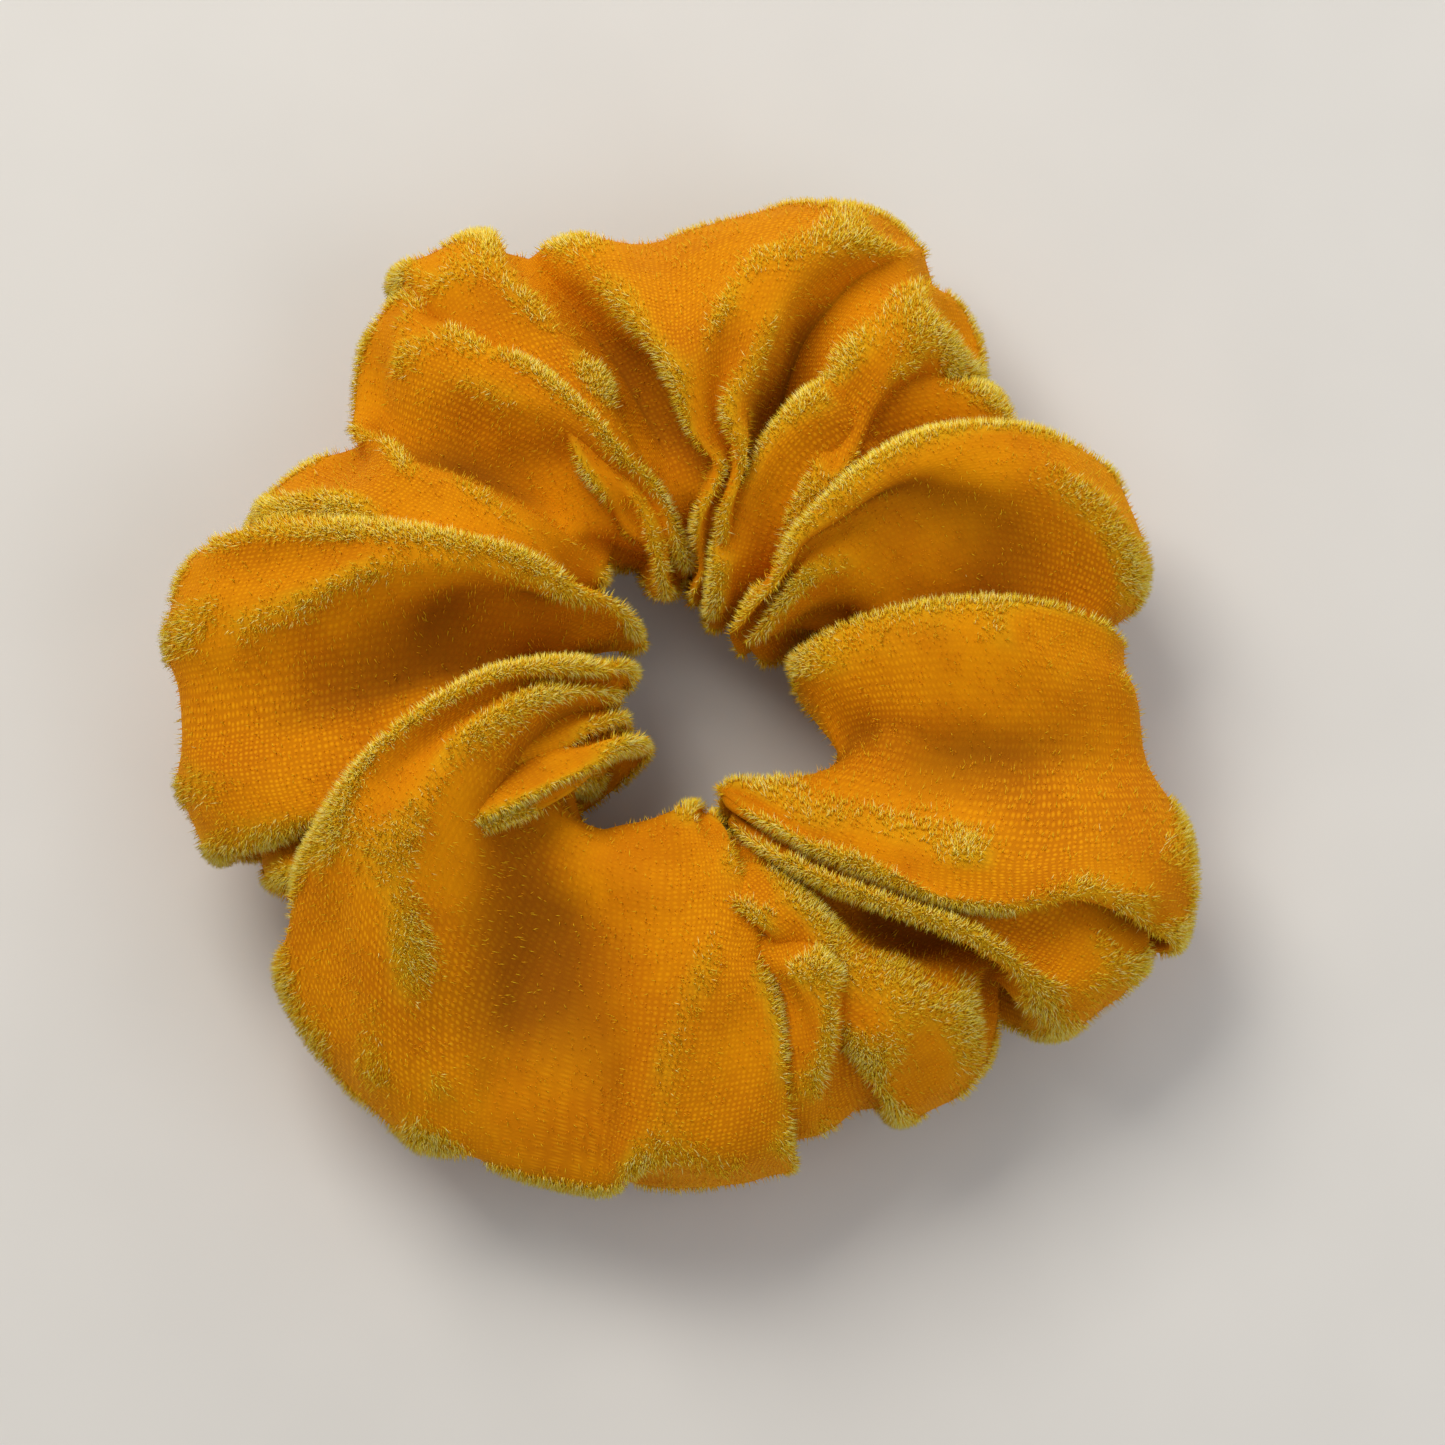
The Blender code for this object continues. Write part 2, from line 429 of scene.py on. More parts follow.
@dataclass(frozen=True)
class TwistedYarn:
    """Sewing thread or braid yarn: spun polyester, matt, with the twist of its plies."""

    name: str
    colour: str
    groove: str
    pitch_mm: float                 # length of one turn of the twist

    def make(self) -> bpy.types.Material:
        """Build the material: diagonal ply lines on the piece's own map, with a fine fuzz.

        Returns:
            The material.
        """
        made, tree, shader = new_material(self.name)
        cloth = add_node(tree, "ShaderNodeUVMap", {"uv_map": "Cloth"}).outputs[0]
        place = add_node(tree, "ShaderNodeTexCoord").outputs["Object"]
        plies = add_node(tree, "ShaderNodeTexWave", {"bands_direction": "DIAGONAL"}, {
            "Vector": cloth, "Scale": 0.31 / (self.pitch_mm * MM), "Distortion": 0.6})
        fuzz = add_node(tree, "ShaderNodeTexNoise", inputs={"Vector": place, "Scale": 6000.0})
        colour = add_ramp(tree, plies.outputs["Fac"], ((0.15, self.groove), (0.7, self.colour)))
        bump = add_node(tree, "ShaderNodeBump", inputs={
            "Strength": 0.6, "Distance": 0.08 * MM,
            "Height": add_math(tree, "ADD", plies.outputs["Fac"], fuzz.outputs["Fac"])})
        tree.links.new(colour, shader.inputs["Base Color"])
        tree.links.new(bump.outputs[0], shader.inputs["Normal"])
        shader.inputs["Roughness"].default_value = 0.7
        shader.inputs["Sheen Weight"].default_value = 0.3
        return made


@dataclass(frozen=True)
class LatexRubber:
    """Extruded natural latex cord: satin, slightly cloudy, dusted with talc."""

    colour: str = "#D6C39A"
    dust: str = "#EADFC6"

    def make(self) -> bpy.types.Material:
        """Build the material: cloudy body colour with pale dust and a fine extruded grain.

        Returns:
            The material.
        """
        made, tree, shader = new_material("latex_rubber")
        place = add_node(tree, "ShaderNodeTexCoord").outputs["Object"]
        clouds = add_node(tree, "ShaderNodeTexNoise", inputs={
            "Vector": place, "Scale": 900.0, "Detail": 4.0})
        colour = add_ramp(tree, clouds.outputs["Fac"], ((0.35, self.colour), (0.7, self.dust)))
        bump = add_node(tree, "ShaderNodeBump", inputs={
            "Strength": 0.2, "Distance": 0.03 * MM, "Height": clouds.outputs["Fac"]})
        tree.links.new(colour, shader.inputs["Base Color"])
        tree.links.new(bump.outputs[0], shader.inputs["Normal"])
        shader.inputs["Roughness"].default_value = 0.5
        return made


# --- the ring's form ----------------------------------------------------------------------------


@dataclass(frozen=True)
class Gather:
    """One panel of cloth, from its own valley to the next gather's.

    The valley's angle is given at the hole, half way out and at the rim. fullness is the panel's
    cloth as a multiple of its width at the rim. lean is how far its crest falls sideways, as a
    share of its height. height scales how proud it stands, and rim_depth is how deep its valley is
    at the rim.
    """

    hole: float
    middle: float
    rim: float
    fullness: float
    lean: float
    height: float
    rim_depth: float


@dataclass(frozen=True)
class RingForm:
    """The gathered tube before it settles, in millimetres and degrees."""

    gathers: tuple[Gather, ...] = (
        Gather(20, 12, 3, 1.5, 1.4, 1, 0.7),
        Gather(36, 38, 30, 1.71, 2.6, 1, 0.8),
        Gather(49, 51, 44, 1.7, -0.5, 0.85, 0.9),
        Gather(61, 65, 56, 1.16, 0.0, 1.2, 0.5),
        Gather(96, 103, 106, 1.52, 0.4, 0.85, 0.7),
        Gather(107, 118, 121, 1.61, -1.8, 1, 0.5),
        Gather(117, 131, 135, 1.28, 0.0, 0.9, 0.6),
        Gather(152, 156, 160, 1.52, -1.8, 1.1, 0.6),
        Gather(165, 175, 178, 1.52, 1.8, 1, 0.5),
        Gather(180, 189, 194, 1.71, 2.2, 1, 0.5),
        Gather(195, 201, 207, 2.09, 0.8, 0.9, 1.2),
        Gather(212, 214, 215, 1.23, -2.6, 1.1, 0.8),
        Gather(238, 248, 252, 1.33, 2.2, 0.9, 0.3),
        Gather(262, 272, 274, 1.42, 0.8, 1, 0.2),
        Gather(288, 291, 296, 1.71, -1.8, 1, 1),
        Gather(309, 322, 315, 1.71, -2.2, 1, 0.8),
        Gather(325, 336, 333, 1.71, -2.6, 1.1, 0.4),
        Gather(342, 349, 352, 1.52, 1.8, 1, 0.8),
    )
    hole_centre: tuple[float, float] = (1.95, -0.97)
    hole_least: float = 11.0
    hole_bays: tuple[tuple[float, float, float], ...] = (
        (75, 34, 4.0), (128, 38, 7.5), (290, 72, 7.5), (190, 40, -3.0), (18, 25, 1.0))
    rim_least: float = 46.0
    rim_lobes: tuple[tuple[float, float, float], ...] = (
        (20, 23, 6.0), (63, 24, 15.0), (114, 29, 15.0), (173, 33, 12.5), (250, 42, 11.0),
        (304, 13, 4.5), (336, 22, 12.5))
    half_height: float = 10.5
    cut: tuple[float, float] = (105.0, 465.0)       # the strip of velvet, across and along
    most_height: float = 9.5        # of a gather's crest over the tube's middle surface
    hole_calm: float = 0.35         # how much lower the gathers are round the hole
    shoulder: float = 2.2           # higher makes panels flatter and their shoulders sharper
    dip: float = 0.15               # how far a panel sinks between its shoulders
    hole_side: float = -0.3         # cosine of the turn below which cloth is on the hole's side
    elastic_room: float = 20.2      # valleys on the hole's side aren't pushed out beyond this
    elastic_radius: float = 23.7    # middle of the ring kept free for the elastic
    elastic_half: tuple[float, float] = (3.6, 6.2)      # of the ring kept free, out and up
    mend_reach: int = 2             # sections laid anew on each side of a slipped one
    lift: float = 1.5               # height of the lowest point over the table at the start
    rim_mean_over: float = 12.0     # the rim's mean radius, over its least
    edge_room: float = 2.0          # taken off the section's half width
    least_width: float = 3.0        # of a gather, in degrees
    crest_share: float = 0.22       # of a crest's height in the root that it comes from
    least_root: float = 16.0        # least value under that root
    rim_droop: float = 0.42         # how much lower crests get towards the rim
    crest_spread: float = 0.09      # how far a crest spreads over its valleys
    least_radius: float = 8.0       # at which a sideways shift becomes an angle
    middle_place: float = 0.55      # where along the section the middle angles are given
    columns: int = 208              # round the ring
    rows: int = 38                  # round the tube

    def panel_cloth(self) -> np.ndarray:
        """Length of cloth in each gather along the rim.

        Returns:
            A length for each gather, in millimetres.
        """
        rim = np.array([g.rim for g in self.gathers] + [self.gathers[0].rim + 360.0])
        radius = self.rim_least + self.rim_mean_over
        return np.radians(np.diff(rim)) * radius * np.array([g.fullness for g in self.gathers])

    def valley_angle(self, which: np.ndarray, out: np.ndarray) -> np.ndarray:
        """Angle of a valley at a place from the hole (0) to the rim (1).

        It is the parabola through the valley's three angles.

        Args:
            which: each point's valley.
            out: each point's place, from 0 at the hole to 1 at the rim.

        Returns:
            The angles, in degrees.
        """
        table = np.array([(g.hole, g.middle, g.rim) for g in self.gathers])
        table = np.vstack([table, table[:1] + 360.0])
        first, middle, last = (table[:, i][which] for i in range(3))
        m = self.middle_place
        return (first * (out - m) * (out - 1) / m + middle * out * (out - 1) / (m * (m - 1))
                + last * out * (out - m) / (1 - m))

    def gathered(self) -> np.ndarray:
        """The gathered surface before it settles.

        The section is an ellipse between the hole's edge and the rim. Across each gather the
        surface rises from a narrow valley to a broad crest: 1 minus twice a high power of the
        cosine of the way across. Its height is a share of the root of cloth squared less width
        squared, which is the height that uses up the cloth. The crest spreads sideways over the
        valleys, and leans to one side.

        Returns:
            A row of points for each place round the tube's section, in metres.
        """
        cloth = self.panel_cloth()
        starts = np.concatenate([[0.0], np.cumsum(cloth)]) / cloth.sum()
        along = (np.arange(self.columns) + 0.5) / self.columns
        which = np.clip(np.searchsorted(starts, along, side="right") - 1, 0, len(cloth) - 1)
        across = (along - starts[which]) * cloth.sum() / cloth[which]
        turn = (np.arange(self.rows) / self.rows * 2 * np.pi)[:, None]
        out = (1 + np.cos(turn)) / 2 + np.zeros_like(along)[None, :]
        grid = np.broadcast_to(which, out.shape)

        first = self.valley_angle(grid, out)
        width = np.maximum(self.valley_angle(grid + 1, out) - first, self.least_width)
        angle = first + width * across
        rim = self.rim_least + bump_sum(angle, self.rim_lobes, 1.0, add=False)
        hole = self.hole_least + bump_sum(angle, self.hole_bays, 2.0, add=True)
        half_width = (rim - hole) / 2 - self.edge_room
        radius = (rim + hole) / 2 + half_width * np.cos(turn)
        outward = np.cos(turn) * self.half_height + 0 * radius
        upward = np.sin(turn) * half_width
        long = np.hypot(outward, upward)

        flat = np.radians(width) * radius
        scale = np.array([g.height for g in self.gathers])[grid]
        root = np.sqrt(np.maximum(cloth[grid] ** 2 - flat**2, self.least_root))
        height = self.crest_share * root * scale
        height = np.minimum(height, self.most_height) * (1 - self.rim_droop * out**3)
        height = height * (1 - self.hole_calm * (1 - out) ** 4)
        depths = np.array([g.rim_depth for g in self.gathers] + [self.gathers[0].rim_depth])
        depth = (1 - out**2) + (depths[grid] * (1 - across) + depths[grid + 1] * across) * out**2
        near = np.abs(np.cos(np.pi * across))
        rise = 1 - 2 * depth * near ** (2 * self.shoulder) - self.dip * (1 - near**2) ** 2
        lean = np.array([g.lean for g in self.gathers])[grid] * (rise + 1) * height * 0.5
        aside = -self.crest_spread * flat * np.sin(2 * np.pi * across) + lean

        angle = np.radians(angle) + aside / np.maximum(radius, self.least_radius)
        moved = radius + rise * height * outward / long
        inward = (np.cos(turn) < self.hole_side) & (rise < 0)
        radius = np.where(inward, np.minimum(moved, np.maximum(radius, self.elastic_room)), moved)
        up = self.half_height * np.sin(turn) + rise * height * upward / long
        x = self.hole_centre[0] + radius * np.cos(angle)
        y = self.hole_centre[1] + radius * np.sin(angle)
        points = np.stack([x, y, up - up.min() + self.lift], -1)
        return self.round_elastic(points * MM, self.half_height + self.lift + self.most_height / 2)

    def round_elastic(self, points: np.ndarray, height: float) -> np.ndarray:
        """Push cloth out of the space that the elastic and its own wall need inside the tube.

        That space is a squarish ring: the fourth powers of the two offsets from its middle line,
        each over its half size, add up to 1 on its surface.

        Args:
            points: places on the cloth, in metres.
            height: the ring's middle height in millimetres.

        Returns:
            The places, none of them inside the ring.
        """
        centre = np.array(self.hole_centre) * MM
        flat = points[..., :2] - centre
        radius = np.linalg.norm(flat, axis=-1)
        aside = (radius - self.elastic_radius * MM) / (self.elastic_half[0] * MM)
        up = (points[..., 2] - height * MM) / (self.elastic_half[1] * MM)
        level = np.maximum((aside**4 + up**4) ** 0.25, 0.05)
        push = np.where(level < 1, 1 / level, 1.0)
        new_radius = (self.elastic_radius + aside * push * self.elastic_half[0]) * MM
        new_flat = centre + flat * (new_radius / np.maximum(radius, 1e-6))[..., None]
        new_up = (height + up * push * self.elastic_half[1]) * MM
        return np.concatenate([new_flat, new_up[..., None]], -1)


    def encircling(self, points: np.ndarray, height: float) -> np.ndarray:
        """Lay each section that slipped off the elastic between its neighbours that go round it.

        A section goes round the elastic when the angles at which its points are seen from the
        elastic's middle line add up to a full turn.

        Args:
            points: places on the cloth, in metres.
            height: the elastic's middle height in millimetres.

        Returns:
            The places, every section of them round the elastic.
        """
        aside = np.linalg.norm(points[..., :2] - np.array(self.hole_centre) * MM, axis=-1)
        seen_at = np.arctan2(points[..., 2] - height * MM, aside - self.elastic_radius * MM)
        step = (np.roll(seen_at, -1, 0) - seen_at + np.pi) % (2 * np.pi) - np.pi
        slipped = np.abs(step.sum(0)) < np.pi
        if not slipped.any():
            return points
        reach = range(-self.mend_reach, self.mend_reach + 1)
        kept = ~np.any([np.roll(slipped, move) for move in reach], axis=0)
        column = np.arange(points.shape[1])
        rows = [[np.interp(column, column[kept], way[kept], period=len(column)) for way in row.T]
                for row in points]
        LOG.info("velvet_cover: %d sections laid back round the elastic", (~kept).sum())
        return np.moveaxis(np.array(rows), 1, -1)


# --- the velvet cover ---------------------------------------------------------------------------


@dataclass
class VelvetCover:
    """The sewn tube of velvet, gathered on the elastic."""

    form: RingForm = field(default_factory=RingForm)
    finish: StretchVelvet = field(default_factory=StretchVelvet)
    columns: int = 500              # of the finished surface
    rows: int = 92
    cloth_mm: float = 0.9           # knit ground and the pressed part of the pile
    pile_mm: float = 1.0            # room left round the cloth for the pile
    ridge_share: float = 38.0       # how much of the cloth lies on ridges, in per cent
    frames: int = 20                # of the simulation
    bending: float = 1200.0
    pressure: float = 3.0           # of the air inside the tube
    drape_rounds: int = 5           # of laying the cloth over the elastic
    drape_gain: float = 1.5         # makes up for what smoothing takes from a push
    drape_spread: int = 60          # rounds of smoothing for a push
    ridge_reach: int = 18           # rounds of smoothing that find the ridges
    valley_reach: int = 200         # rounds of smoothing that find the valleys
    valley_mm: tuple[float, float] = (0.6, 2.6)     # depth where shading starts, and its range

    def settle(self, start: np.ndarray) -> np.ndarray:
        """Let the gathers fall and press against each other, by Blender's cloth.

        The row that lies on the elastic is held, air inside keeps the tube from falling flat, and
        the table and the cloth itself are solid.

        Args:
            start: the gathered surface.

        Returns:
            The settled surface, on the same grid.
        """
        rows, columns, _ = start.shape
        finish = bpy.data.materials.new("settling")
        cloth = new_piece("settling_cover", start, grid_faces(rows, columns), finish)
        held = cloth.vertex_groups.new(name="on_elastic")
        held.add([rows // 2 * columns + i for i in range(columns)], 1.0, "REPLACE")
        bpy.ops.mesh.primitive_plane_add(size=1.0)
        table = bpy.context.object
        table.modifiers.new("table", "COLLISION")
        table.collision.thickness_outer = 1.0 * MM
        table.collision.cloth_friction = 20

        solver = cloth.modifiers.new("settle", "CLOTH")
        fabric, touch = solver.settings, solver.collision_settings
        fabric.quality = 5
        fabric.mass = 0.0003
        fabric.tension_stiffness = fabric.compression_stiffness = 15.0
        fabric.shear_stiffness = 5.0
        fabric.bending_stiffness = self.bending
        fabric.tension_damping = fabric.compression_damping = 10.0
        fabric.shear_damping = 5.0
        fabric.vertex_group_mass = held.name
        fabric.air_damping = 5.0
        fabric.use_pressure = True
        fabric.uniform_pressure_force = self.pressure
        touch.use_self_collision = True
        touch.self_distance_min = 1.2 * MM
        touch.distance_min = 1.0 * MM
        touch.collision_quality = 3
        bpy.context.scene.frame_end = solver.point_cache.frame_end = self.frames
        for frame in range(1, self.frames + 1):
            bpy.context.scene.frame_set(frame)
        done = cloth.evaluated_get(bpy.context.evaluated_depsgraph_get()).data
        flat = np.empty(rows * columns * 3)
        done.vertices.foreach_get("co", flat)
        for thing in (cloth, table):
            bpy.data.objects.remove(thing, do_unlink=True)
        bpy.context.scene.frame_set(1)
        return flat.reshape(rows, columns, 3)

    def fitted(self, points: np.ndarray, low: np.ndarray, high: np.ndarray) -> np.ndarray:
        """Scale the settled cloth into the cover's box, less the room that the pile needs.

        Args:
            points: the settled surface.
            low: the box's low corner.
            high: its high corner.

        Returns:
            The scaled surface.
        """
        room = np.array([self.pile_mm, self.pile_mm, 0.0]) * MM
        low, high = low + room, high - room
        low[2] += self.pile_mm / 2 * MM
        least, most = points.min((0, 1)), points.max((0, 1))
        return low + (points - least) / (most - least) * (high - low)

    def over_elastic(self, points: np.ndarray) -> np.ndarray:
        """Lay the cloth over the elastic: spread the push that clears it, then clear it fully.

        Args:
            points: the cover's surface.

        Returns:
            The surface, clear of the elastic.
        """
        height = sum(corner[2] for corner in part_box("elastic_braid")) / 2 / MM
        points = self.form.encircling(points, height)
        for _ in range(self.drape_rounds):
            push = self.form.round_elastic(points, height) - points
            points = points + self.drape_gain * smoothed(push, self.drape_spread)
        return self.form.round_elastic(points, height)

    def relief(self, points: np.ndarray) -> tuple[np.ndarray, np.ndarray]:
        """How much each point lies on a ridge, and how deep in a valley, each from 0 to 1.

        Both come from how far a point stands out of the smoothed surface round it, along the
        surface's normal: a close average finds the ridges, and a wide one finds the valleys.
        The ridges are the share of the cloth that stands out most. The velvet's material paints
        sheen on the ridges and shade in the valleys by these two values.

        Args:
            points: the cover's surface.

        Returns:
            The two values at each point.
        """
        normal = grid_normals(points)
        near = smoothed(((points - smoothed(points, self.ridge_reach)) * normal).sum(-1), 4)
        wide = ((points - smoothed(points, self.valley_reach)) * normal).sum(-1)
        first, full = np.percentile(near, (100 - self.ridge_share, 100 - self.ridge_share / 8))
        ridge = np.clip((near - first) / (full - first), 0, 1)
        hollow = np.clip((-wide - self.valley_mm[0] * MM) / (self.valley_mm[1] * MM), 0, 1)
        return ridge, hollow

    def build(self, low: np.ndarray, high: np.ndarray) -> "ClothGrid":
        """Build the cover and hide the nodes that it stands for.

        Args:
            low: low corner of the box to fill.
            high: its high corner.

        Returns:
            The cover with its outer surface, which the pile and the seams need.
        """
        start = self.form.gathered()
        settled = self.settle(start)
        outer = resampled(resampled(settled, self.rows, 0), self.columns, 1)
        outer = self.fitted(outer, low, high)
        outer = self.over_elastic(outer)
        normal = grid_normals(outer)
        inner = outer - smoothed(normal, 3) * self.cloth_mm * MM
        ridge, hollow = self.relief(outer)
        count = self.rows * self.columns
        faces = np.vstack([grid_faces(self.rows, self.columns),
                           grid_faces(self.rows, self.columns, first=count, flip=True)])
        cover = new_piece("velvet_cover", np.stack([outer, inner]), faces, self.finish.make())
        # masks for the velvet's painted sheen on the ridges and painted shade in the valleys
        add_values(cover, "ridge", np.stack([ridge, 0 * ridge]))
        add_values(cover, "hollow", np.stack([hollow, 0 * hollow]))
        add_uv(cover, self.cloth_map(faces))
        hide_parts("velvet_cover_left", "velvet_cover_right")
        return ClothGrid(cover, outer, normal, ridge, hollow)

    def cloth_map(self, faces: np.ndarray) -> np.ndarray:
        """Map the faces to the strip that the cover is sewn from, with the wraps undone.

        Args:
            faces: vertex numbers, four for each face.

        Returns:
            UV of every face corner, in metres along the strip and across it.
        """
        number = faces % (self.rows * self.columns)
        row, column = number // self.columns, number % self.columns
        row = np.where((row == 0) & (row.max(1, keepdims=True) == self.rows - 1), self.rows, row)
        column = np.where((column == 0) & (column.max(1, keepdims=True) == self.columns - 1),
                          self.columns, column)
        along = column / self.columns * self.form.cut[1] * MM
        across = row / self.rows * self.form.cut[0] * MM
        return np.stack([along, across], -1).reshape(-1, 2)


@dataclass
class ClothGrid:
    """The finished cover and what the pile needs to know of its outer surface."""

    piece: bpy.types.Object
    points: np.ndarray
    normal: np.ndarray
    ridge: np.ndarray
    hollow: np.ndarray


@dataclass
class VelvetPile:
    """The cut pile: tapered fibres that stand on the cloth, closest along the ridges."""

    seed: int = 11
    foot_mm: float = 0.075          # radius of a fibre's foot
    sunk_mm: float = 0.15
    nap: float = 0.18               # how far the pile leans along the strip
    fibres_each: int = 46000        # in one piece
    least_share: float = 0.75       # shortest fibre, as a share of the tone's length
    share_range: float = 0.35       # longest fibre over the shortest, as the same share
    table_gap_mm: float = 0.05      # no fibre reaches lower
    bare: float = 0.9               # how far amber pile is missing deep in a valley
    stray: tuple[float, float] = (0.02, 0.01)       # painted-sheen gold and bright pile away from the ridges
    tones: tuple[PileFibre, ...] = (
        PileFibre(PileTone.AMBER, ("#F0A406",), 0.7, 0.7, 0.14),
        # gold and bright are painted sheen and painted highlights: lit copies of the amber pile
        PileFibre(PileTone.GOLD, ("#EBC012", "#F0B20A", "#DDB80E", "#F2CA1C"), 0.6, 1.15, 0.22),
        PileFibre(PileTone.BRIGHT, ("#FBE64E", "#FFF08A"), 0.4, 1.3, 0.25),
    )

    def weight(self, tone: PileTone, cloth: ClothGrid) -> np.ndarray:
        """How thickly a tone of pile shows on the cloth.

        Args:
            tone: which tone.
            cloth: the cover's surface.

        Returns:
            A weight for each point.
        """
        if tone is PileTone.AMBER:
            return 1 - self.bare * cloth.hollow
        # painted sheen and painted highlights gather on the ridges
        if tone is PileTone.GOLD:
            return self.stray[0] + cloth.ridge
        return (self.stray[1] + cloth.ridge) ** 2

    def feet(self, tone: PileTone, cloth: ClothGrid, count: int,
             random: np.random.Generator) -> tuple[np.ndarray, np.ndarray, np.ndarray]:
        """Scatter fibres over the cloth by area and weight.

        Args:
            tone: which tone of pile.
            cloth: the cover's surface.
            count: how many fibres.
            random: the seeded source of chance.

        Returns:
            Each fibre's foot, the cloth's normal there and the way along the strip.
        """
        p = cloth.points
        right, below = np.roll(p, -1, 1), np.roll(p, -1, 0)
        area = np.linalg.norm(np.cross(right - p, below - p), axis=-1)
        chance = np.cumsum((area * self.weight(tone, cloth)).ravel())
        cell = np.searchsorted(chance, random.random(count) * chance[-1])
        row, column = np.divmod(np.minimum(cell, p.shape[0] * p.shape[1] - 1), p.shape[1])
        u, v = random.random((2, count, 1))
        next_row, next_column = (row + 1) % p.shape[0], (column + 1) % p.shape[1]

        def between(grid: np.ndarray) -> np.ndarray:
            """Bilinear value of a grid at each fibre's place in its cell.

            Args:
                grid: values at the cloth's points.

            Returns:
                A value for each fibre.
            """
            near = grid[row, column] * (1 - u) + grid[row, next_column] * u
            far = grid[next_row, column] * (1 - u) + grid[next_row, next_column] * u
            return near * (1 - v) + far * v

        along = np.roll(p, -1, 1) - np.roll(p, 1, 1)
        return between(p), unit(between(cloth.normal)), unit(between(along))

    def fibres(self, kind: PileFibre, foot: np.ndarray, normal: np.ndarray, along: np.ndarray,
               random: np.random.Generator) -> tuple[np.ndarray, np.ndarray]:
        """Each fibre as a closed spike: a three-cornered foot and one tip.

        Args:
            kind: the tone of pile, with its length and spread.
            foot: where each fibre stands.
            normal: the cloth's normal there.
            along: the way of the strip, towards which the nap leans.
            random: the seeded source of chance.

        Returns:
            The points and the faces.
        """
        count = len(foot)
        own_way = random.normal(size=(count, 3)) * kind.spread
        way = unit(normal + along * self.nap + own_way)
        side = unit(np.cross(way, own_way + along))
        other = np.cross(way, side)
        share = self.least_share + self.share_range * random.random((count, 1))
        length = kind.length_mm * MM * share
        foot = foot - normal * self.sunk_mm * MM
        ring = [foot + (side * math.cos(a) + other * math.sin(a)) * self.foot_mm * MM
                for a in (0.0, 2 * math.pi / 3, 4 * math.pi / 3)]
        points = np.stack([*ring, foot + way * length], 1)
        points[..., 2] = np.maximum(points[..., 2], self.table_gap_mm * MM)
        spike = np.array([(0, 1, 3), (1, 2, 3), (2, 0, 3), (0, 2, 1)])
        return points, (spike[None] + 4 * np.arange(count)[:, None, None]).reshape(-1, 3)

    def build(self, cloth: ClothGrid) -> list[bpy.types.Object]:
        """Build a piece of pile for each dye of each tone.

        Args:
            cloth: the cover's surface.

        Returns:
            The pieces.
        """
        random = np.random.default_rng(self.seed)
        made = []
        for kind in self.tones:
            for number in range(len(kind.dye_and_sheen_colours)):
                foot, normal, along = self.feet(kind.tone, cloth, self.fibres_each, random)
                points, faces = self.fibres(kind, foot, normal, along, random)
                piece = new_piece(f"pile_{kind.tone.value}_{number + 1}", points, faces,
                                  kind.make(number))
                made.append(piece)
                LOG.info("%s: %d fibres", piece.name, len(foot))
        return made


def unit(vectors: np.ndarray) -> np.ndarray:
    """Vectors scaled to length 1."""
    return vectors / np.maximum(np.linalg.norm(vectors, axis=-1, keepdims=True), 1e-12)


# --- elastic and threads ------------------------------------------------------------------------


def swept(path: np.ndarray, profile: np.ndarray, up: np.ndarray, closed: bool) -> np.ndarray:
    """Carry profiles along a path.

    Args:
        path: points along the middle, one row each.
        profile: for each path point, its outline's (out, up) offsets.
        up: the direction that the profile's second number is measured in, at each path point.
        closed: whether the path's end meets its start.

    Returns:
        A grid of points, a row for each path point.
    """
    if closed:
        ahead = np.roll(path, -1, 0) - np.roll(path, 1, 0)
    else:
        ahead = np.gradient(path, axis=0)
    ahead = unit(ahead)
    out = unit(np.cross(ahead, up))
    rise = np.cross(out, ahead)
    return path[:, None] + out[:, None] * profile[..., :1] + rise[:, None] * profile[..., 1:]


def strand(name: str, points: np.ndarray, closed: bool, finish: bpy.types.Material,
           scale: tuple[float, float]) -> bpy.types.Object:
    """Make a piece from a swept grid, with caps on open ends and a map along and round it.

    Args:
        name: the piece's name.
        points: the grid, a row for each place along it.
        closed: whether it closes on itself.
        finish: its material.
        scale: metres of map along and round the grid.

    Returns:
        The piece.
    """
    rows, columns, _ = points.shape
    faces = grid_faces(rows, columns, close_rows=closed, flip=True)
    row, column = faces // columns, faces % columns
    row = np.where((row == 0) & (row.max(1, keepdims=True) == rows - 1), rows, row)
    column = np.where((column == 0) & (column.max(1, keepdims=True) == columns - 1),
                      columns, column)
    uv = np.stack([row / rows * scale[0], column / columns * scale[1]], -1).reshape(-1, 2)
    all_points, loops = points.reshape(-1, 3), list(map(tuple, faces))
    if not closed:
        last_row = range((rows - 1) * columns, rows * columns)
        loops += [tuple(range(columns)), tuple(reversed(last_row))]
        uv = np.vstack([uv, np.zeros((2 * columns, 2))])
    piece = new_piece(name, all_points, loops, finish)
    add_uv(piece, uv)
    return piece


